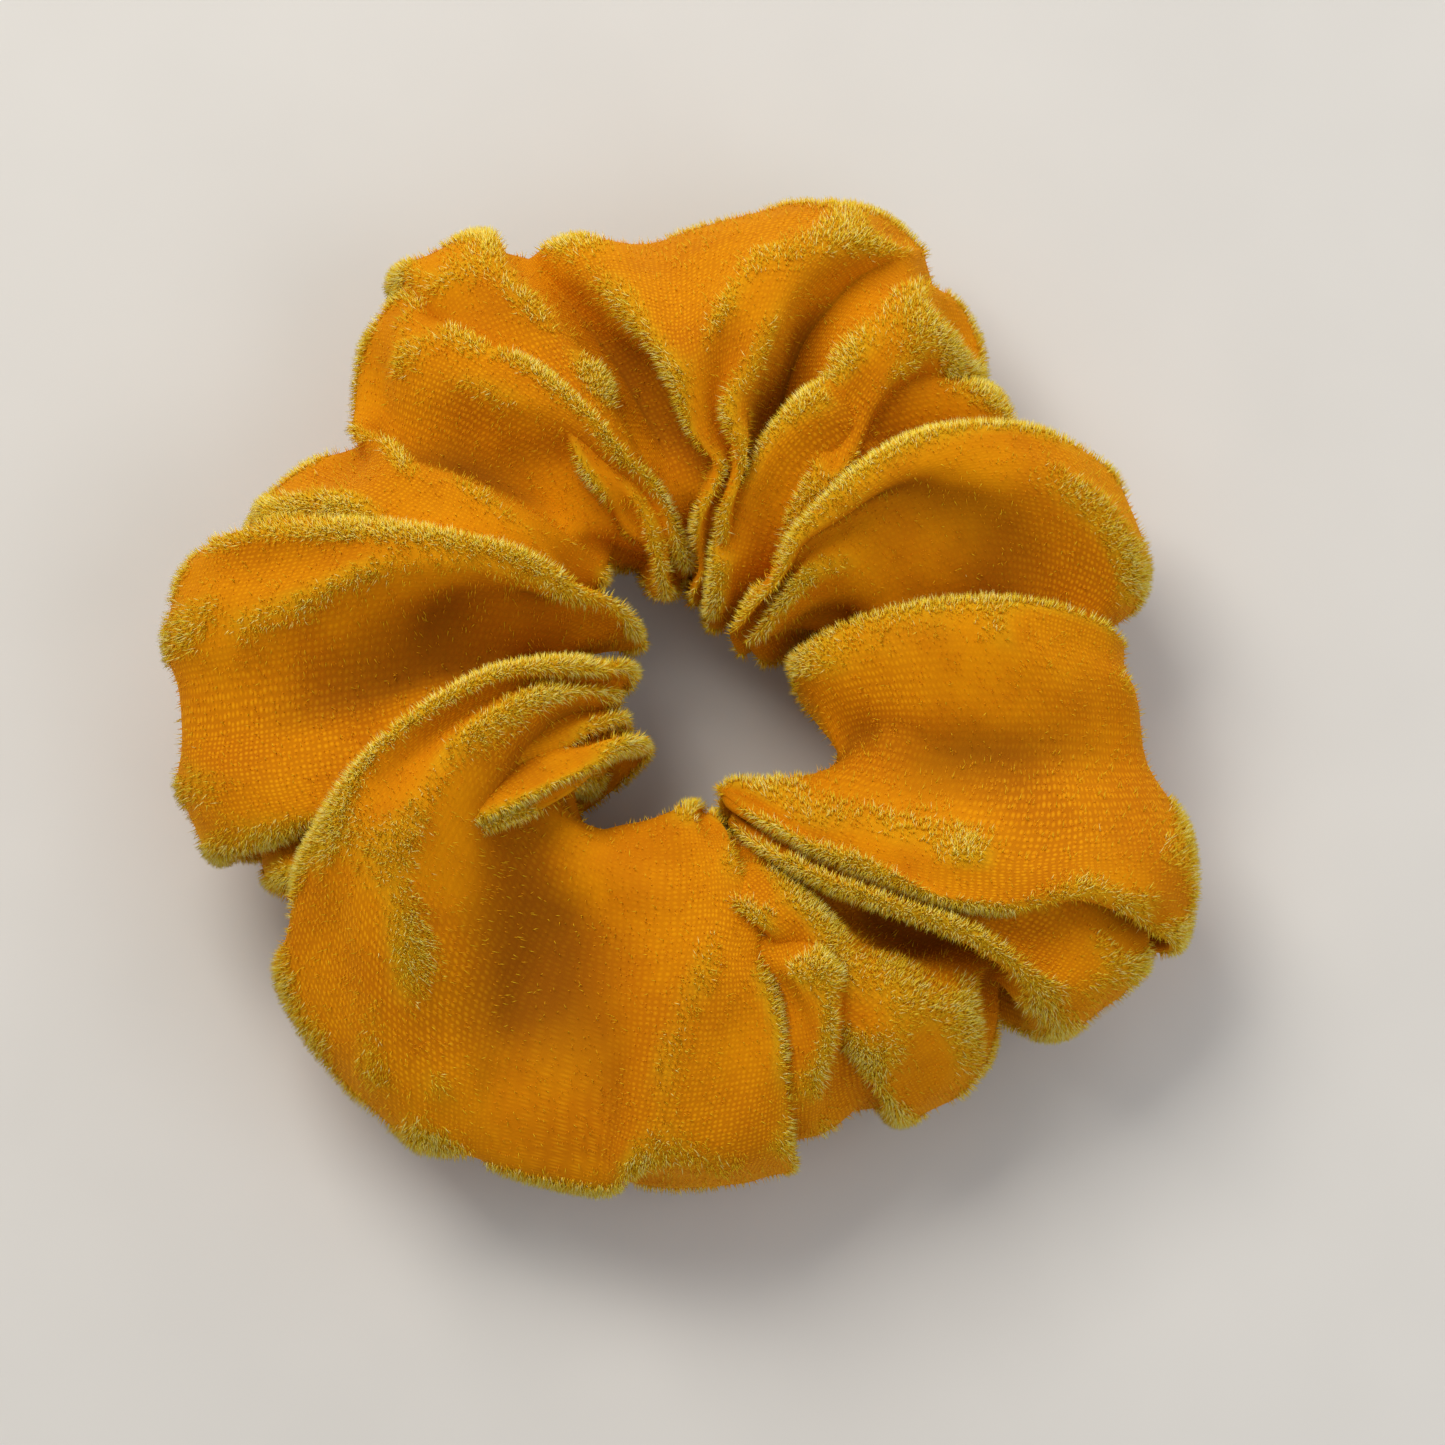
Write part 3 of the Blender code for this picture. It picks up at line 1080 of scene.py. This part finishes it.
def hose(name: str, outer: np.ndarray, inner: np.ndarray, look: bpy.types.Material,
         scale: tuple[float, float], ribs: int) -> bpy.types.Object:
    """Make an open hose from an outer and an inner grid, joined by a rim at each end.

    Its map folds back and forth round the hose, once for each rib, so that slanted lines on it
    make the herringbone of a braid.

    Args:
        name: the piece's name.
        outer: the outer wall's grid, a row for each place along it.
        inner: the inner wall's grid, of the same size.
        look: its material.
        scale: metres of map along and round the hose.
        ribs: how many herringbone ribs run along it.

    Returns:
        The piece.
    """
    rows, columns, _ = outer.shape
    count = rows * columns
    walls = [grid_faces(rows, columns, close_rows=False, flip=True),
             grid_faces(rows, columns, first=count, close_rows=False)]
    ring = np.arange(columns)
    after = np.roll(ring, -1)
    last = (rows - 1) * columns
    rims = [np.stack([ring, after, after + count, ring + count], -1),
            np.stack([ring + count, after + count, after, ring], -1) + last]
    faces = np.vstack([*walls, *rims])
    number = faces % count
    row, column = number // columns, number % columns
    column = np.where((column == 0) & (column.max(1, keepdims=True) == columns - 1),
                      columns, column)
    piece = new_piece(name, np.stack([outer, inner]), faces, look)
    folded = np.abs((column / columns * ribs) % 1.0 - 0.5) * scale[1] / ribs
    add_uv(piece, np.stack([row / rows * scale[0], folded], -1))
    return piece


@dataclass
class ElasticLoop:
    """The braided elastic inside the cover: sheath, rubber cords and the stitches of its join."""

    hole_centre: tuple[float, float] = (1.95, -0.97)
    radius_mm: float = 22.6
    width_mm: float = 8.0
    thickness_mm: float = 1.7
    lap_gap_mm: float = 0.35
    lap_degrees: float = 30.0
    lap_middle: float = 180.0
    core_count: int = 8
    core_pitch_mm: float = 0.9
    core_mm: float = 0.5
    stitch_turns: int = 6
    stitch_degrees: float = 18.0
    wall_mm: float = 0.3            # of the sheath
    yarn_relief_mm: float = 0.07
    yarn_waves: int = 110           # crossings along the braid
    yarn_bands: int = 10            # crossings round it
    ribs: int = 8                   # herringbone ribs round it
    map_size: tuple[float, float] = (0.15, 0.02)        # metres of map along and round the sheath
    braid_corner: float = 0.35      # lower makes the outline squarer
    core_swell: float = 0.05        # of a cord's radius between the yarns that pinch it
    core_swells: int = 90           # along a cord
    core_map: tuple[float, float] = (0.15, 0.002)
    stitch_corner: float = 0.5
    stitch_mm: float = 0.45         # the joining thread, and its distance from the braid

    def middle_height(self) -> float:
        """Height of the elastic's middle, read from its node's box."""
        low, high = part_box("elastic_braid")
        return (low[2] + high[2]) / 2

    def path(self, steps: int) -> np.ndarray:
        """The loop's middle line, a shallow spiral whose radius grows by a lap in one turn.

        Args:
            steps: how many points.

        Returns:
            The points, in metres.
        """
        start = self.lap_middle - self.lap_degrees / 2
        turn = np.linspace(start, start + 360.0 + self.lap_degrees, steps)
        grow = self.thickness_mm + self.lap_gap_mm
        radius = self.radius_mm + grow * (turn - start) / 360.0
        return self.place(turn, radius, np.full(steps, self.middle_height()))

    def place(self, turn: np.ndarray, radius: np.ndarray, height: np.ndarray) -> np.ndarray:
        """Points round the hole's middle.

        Args:
            turn: angles in degrees.
            radius: distances from the middle, in millimetres.
            height: heights in metres.

        Returns:
            The points, in metres.
        """
        x = (self.hole_centre[0] + radius * np.cos(np.radians(turn))) * MM
        y = (self.hole_centre[1] + radius * np.sin(np.radians(turn))) * MM
        return np.stack([x, y, height], -1)

    def build_braid(self) -> bpy.types.Object:
        """The sheath: a flat hollow tube whose surface rises and falls with the crossing yarns.

        Relief is the product of two sine waves, one on each diagonal of the braid, added to a
        rounded oblong outline. The inner wall is the plain outline, one wall inside it.

        Returns:
            The piece.
        """
        steps, sides = 600, 48
        path = self.path(steps)
        up_way = np.tile([0.0, 0.0, 1.0], (steps, 1))
        turn = np.linspace(0, 2 * np.pi, sides, endpoint=False)[None, :]
        run = np.linspace(0, 1, steps)[:, None]
        relief = self.yarn_relief_mm * np.sin(2 * np.pi * self.yarn_waves * run
                                              + self.yarn_bands * turn)
        relief = relief * np.sin(2 * np.pi * self.yarn_waves * run - self.yarn_bands * turn)
        outer = swept(path, self.oblong(turn, self.yarn_relief_mm, relief), up_way, closed=False)
        inner = swept(path, self.oblong(turn, self.wall_mm, 0 * relief), up_way, closed=False)
        look = TwistedYarn("braided_polyester", "#ECE9DF", "#BDB8A8", 0.7).make()
        return hose("elastic_braid_sheath", outer, inner, look, self.map_size, self.ribs)

    def oblong(self, turn: np.ndarray, inset: float, relief: np.ndarray) -> np.ndarray:
        """The braid's rounded oblong outline.

        Args:
            turn: angles round it, in radians.
            inset: how far inside its full size it lies, in millimetres.
            relief: how far each point stands out, in millimetres.

        Returns:
            The (out, up) offsets, in metres.
        """
        out = np.sign(np.cos(turn)) * np.abs(np.cos(turn)) ** self.braid_corner
        out = out * (self.thickness_mm / 2 - inset + relief)
        up = np.sin(turn) * (self.width_mm / 2 - inset + relief)
        return np.stack([out, up], -1) * MM

    def build_core(self, number: int, finish: bpy.types.Material) -> bpy.types.Object:
        """One rubber cord: a round strand that swells a little between the crossing yarns.

        Args:
            number: the cord's place, counted from the bottom.
            finish: its material.

        Returns:
            The piece.
        """
        steps, sides = 220, 10
        path = self.path(steps)
        path[:, 2] += (number - (self.core_count - 1) / 2) * self.core_pitch_mm * MM
        turn = np.linspace(0, 2 * np.pi, sides, endpoint=False)[None, :]
        swells = np.linspace(0, 2 * np.pi * self.core_swells, steps)
        wave = 1 + self.core_swell * np.sin(swells)[:, None]
        profile = np.stack([np.cos(turn) * wave, np.sin(turn) * wave], -1) * self.core_mm / 2 * MM
        points = swept(path, profile, np.tile([0.0, 0.0, 1.0], (steps, 1)), closed=False)
        return strand(f"rubber_cord_{number + 1}", points, False, finish, self.core_map)

    def build_join(self) -> bpy.types.Object:
        """Stitches over the two lapped ends: a thread wound round them in an oblong helix.

        Returns:
            The piece.
        """
        steps, sides = 400, 8
        turn = np.linspace(0, 2 * np.pi * self.stitch_turns, steps)
        grow = self.thickness_mm + self.lap_gap_mm
        middle = self.radius_mm + grow * (0.5 + self.lap_degrees / 2 / 360.0)
        half_out = self.thickness_mm + self.lap_gap_mm / 2 + self.stitch_mm
        half_up = self.width_mm / 2 + self.stitch_mm
        out = np.sign(np.cos(turn)) * np.abs(np.cos(turn)) ** self.stitch_corner * half_out
        up = np.sign(np.sin(turn)) * np.abs(np.sin(turn)) ** self.stitch_corner * half_up
        angle = self.lap_middle + self.stitch_degrees * (np.linspace(0, 1, steps) - 0.5)
        path = self.place(angle, middle + out, self.middle_height() + up * MM)
        finish = TwistedYarn("white_thread", "#F0EEE6", "#C9C5B8", 0.5).make()
        return thread("elastic_join_stitches", path, self.stitch_mm, sides, False, finish)

    def build(self) -> None:
        """Build the elastic's pieces and declare each."""
        braid = self.build_braid()
        declare(braid, Slot.BRAID, "elastic_braid")
        rubber = LatexRubber().make()
        for number in range(self.core_count):
            core = self.build_core(number, rubber)
            declare(core, Slot.RUBBER, f"rubber_core_{number + 1}")
        declare(self.build_join(), Slot.JOIN_THREAD, "elastic_join_stitching")


PLY_TURN = 1.4 * MM                 # length of one turn of a thread's two plies
THREAD_ROUND = 1.6 * MM             # of map round a thread


def thread(name: str, path: np.ndarray, diameter_mm: float, sides: int, closed: bool,
           material: bpy.types.Material) -> bpy.types.Object:
    """A two-ply thread: a round strand whose radius swells twice for each turn of the twist.

    Args:
        name: the piece's name.
        path: points along its middle.
        diameter_mm: its thickness.
        sides: points round it.
        closed: whether it closes on itself.
        material: its yarn.

    Returns:
        The piece.
    """
    steps = len(path)
    turn = np.linspace(0, 2 * np.pi, sides, endpoint=False)[None, :]
    run = np.concatenate([[0.0], np.cumsum(np.linalg.norm(np.diff(path, axis=0), axis=1))])
    twist = 2 * np.pi * run[:, None] / PLY_TURN
    radius = diameter_mm / 2 * (0.9 + 0.1 * np.cos(2 * (turn - twist))) * MM
    profile = np.stack([radius * np.cos(turn), radius * np.sin(turn)], -1)
    up = np.tile([0.13, 0.21, 0.97], (steps, 1))
    points = swept(path, profile, up, closed)
    return strand(name, points, closed, material, (run[-1], THREAD_ROUND))


@dataclass
class SeamThreads:
    """The two seams of the cover, whose stitches lie in the thickness of its cloth."""

    closing_angle: float = 85.0     # where round the ring the tube's two ends meet
    inside_mm: float = 0.45         # from the cloth's face to the middle of the thread
    thread_mm: float = 0.4

    def inside(self, cloth: ClothGrid) -> np.ndarray:
        """The cloth's surface moved in to where the threads lie."""
        return cloth.points - smoothed(cloth.normal, 2) * self.inside_mm * MM

    def build(self, cloth: ClothGrid) -> None:
        """Sew the long seam round the hole and the closing seam round the tube.

        Args:
            cloth: the cover's surface.
        """
        yarn = TwistedYarn("orange_thread", "#CF7F12", "#9A5406", 0.6).make()
        inside = self.inside(cloth)
        rows = inside.shape[0]
        path = resampled(inside[rows // 2], 1500, 0)
        seam = thread("cover_long_seam", path, self.thread_mm, 6, True, yarn)
        declare(seam, Slot.SEAM_THREAD, "cover_seam_thread")

        centre = np.array(RingForm().hole_centre) * MM
        rim = inside[0, :, :2] - centre
        away = np.degrees(np.arctan2(rim[:, 1], rim[:, 0])) - self.closing_angle
        column = int(np.argmin(np.abs((away + 180.0) % 360.0 - 180.0)))
        path = resampled(inside[:, column], 600, 0)
        closing = thread("cover_closing_seam", path, self.thread_mm, 6, True, yarn)
        declare(closing, Slot.SEAM_THREAD, "cover_closing_thread")


# --- baking and declaring -----------------------------------------------------------------------


def stretches(piece: bpy.types.Object) -> None:
    """Bake a piece's transform into its mesh."""
    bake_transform(piece)


def declare(piece: bpy.types.Object, slot: Slot, *nodes: str) -> None:
    """Say what a piece stands for, hide the nodes that it replaces and bake its transform.

    Args:
        piece: the piece.
        slot: its material slot in the record; not used.
        nodes: the nodes that it replaces.
    """
    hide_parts(*nodes)
    stretches(piece)
    LOG.info("%s stands for %s", piece.name, ", ".join(nodes))


# --- studio -------------------------------------------------------------------------------------


@dataclass(frozen=True)
class Studio:
    """A pale table, soft light and the camera."""

    elevation: float = 75.0         # of the camera over the table, in degrees
    distance: float = 0.62          # of the camera from its target
    view_width: float = 0.159       # of the whole frame, at the ring's middle height
    aside: float = 0.0048           # the ring sits left of and above the frame's middle
    below: float = 0.0045
    floor: str = "#D9D7D3"
    speck: str = "#D6D4D0"          # the floor's faint grain
    floor_half: float = 3.0

    def build(self, low: np.ndarray, high: np.ndarray) -> None:
        """Place the floor, lights and camera.

        Args:
            low: low corner of the ring's box.
            high: its high corner.
        """
        made, tree, shader = new_material("pale_table")
        place = add_node(tree, "ShaderNodeTexCoord").outputs["Object"]
        grain = add_node(tree, "ShaderNodeTexNoise", inputs={"Vector": place, "Scale": 40.0})
        colour = add_ramp(tree, grain.outputs["Fac"], ((0.3, self.speck), (0.7, self.floor)))
        tree.links.new(colour, shader.inputs["Base Color"])
        shader.inputs["Roughness"].default_value = 0.9
        corners = np.array([(-1, -1, 0), (1, -1, 0), (1, 1, 0), (-1, 1, 0)]) * self.floor_half
        floor = new_piece("floor", corners, np.array([(0, 1, 2, 3)]), made)
        floor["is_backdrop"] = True

        middle = Vector(((low + high) / 2).tolist())
        tilt = math.radians(self.elevation)
        target = middle + Vector((self.aside, -self.below, 0.0))
        lens = bpy.data.cameras.new("camera")
        lens.sensor_width = 36.0
        lens.lens = lens.sensor_width * self.distance / self.view_width
        lens.clip_start = 0.01
        camera = bpy.data.objects.new("camera", lens)
        camera.location = target + Vector((0, -math.cos(tilt), math.sin(tilt))) * self.distance
        camera.rotation_euler = (target - camera.location).to_track_quat("-Z", "Y").to_euler()
        bpy.context.scene.collection.objects.link(camera)
        bpy.context.scene.camera = camera

        self.add_light("key", (-0.35, 0.45, 0.75), 0.55, 6.0, "#FFF8EE")
        self.add_light("fill", (0.55, -0.35, 0.60), 0.70, 1.7, "#F4F8FF")
        self.add_light("rim", (0.25, 0.70, 0.22), 0.35, 1.4, "#FFFFFF")
        world = bpy.data.worlds.new("studio")
        bpy.context.scene.world = world
        world.use_nodes = True
        backdrop = world.node_tree.nodes["Background"]
        backdrop.inputs["Color"].default_value = srgb("#F2F2F2")
        backdrop.inputs["Strength"].default_value = 0.42
        bpy.context.scene.view_settings.view_transform = "Standard"     # hex colours as written

    def add_light(self, name: str, place: tuple[float, float, float], size: float, power: float,
                  colour: str) -> None:
        """Add a square soft light that looks at the ring.

        Args:
            name: the light's name.
            place: where it stands.
            size: length of its side.
            power: its power in watts.
            colour: its sRGB hex colour.
        """
        lamp = bpy.data.lights.new(name, "AREA")
        lamp.size = size
        lamp.energy = power
        lamp.color = srgb(colour)[:3]
        light = bpy.data.objects.new(name, lamp)
        light.location = place
        light.rotation_euler = (-Vector(place)).to_track_quat("-Z", "Y").to_euler()
        bpy.context.scene.collection.objects.link(light)


def main() -> None:
    """Build the scrunchie and its studio."""
    logging.basicConfig(level=logging.INFO, format="%(name)s: %(message)s")
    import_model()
    cad_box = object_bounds()
    low, high = (np.array(corner, float) for corner in cad_box)
    Studio().build(low, high)

    cover = VelvetCover()
    cloth = cover.build(low, high)
    pile = VelvetPile().build(cloth)
    for piece in (cloth.piece, *pile):
        stretches(piece)
    ElasticLoop().build()
    SeamThreads().build(cloth)


if __name__ == "__main__":
    main()
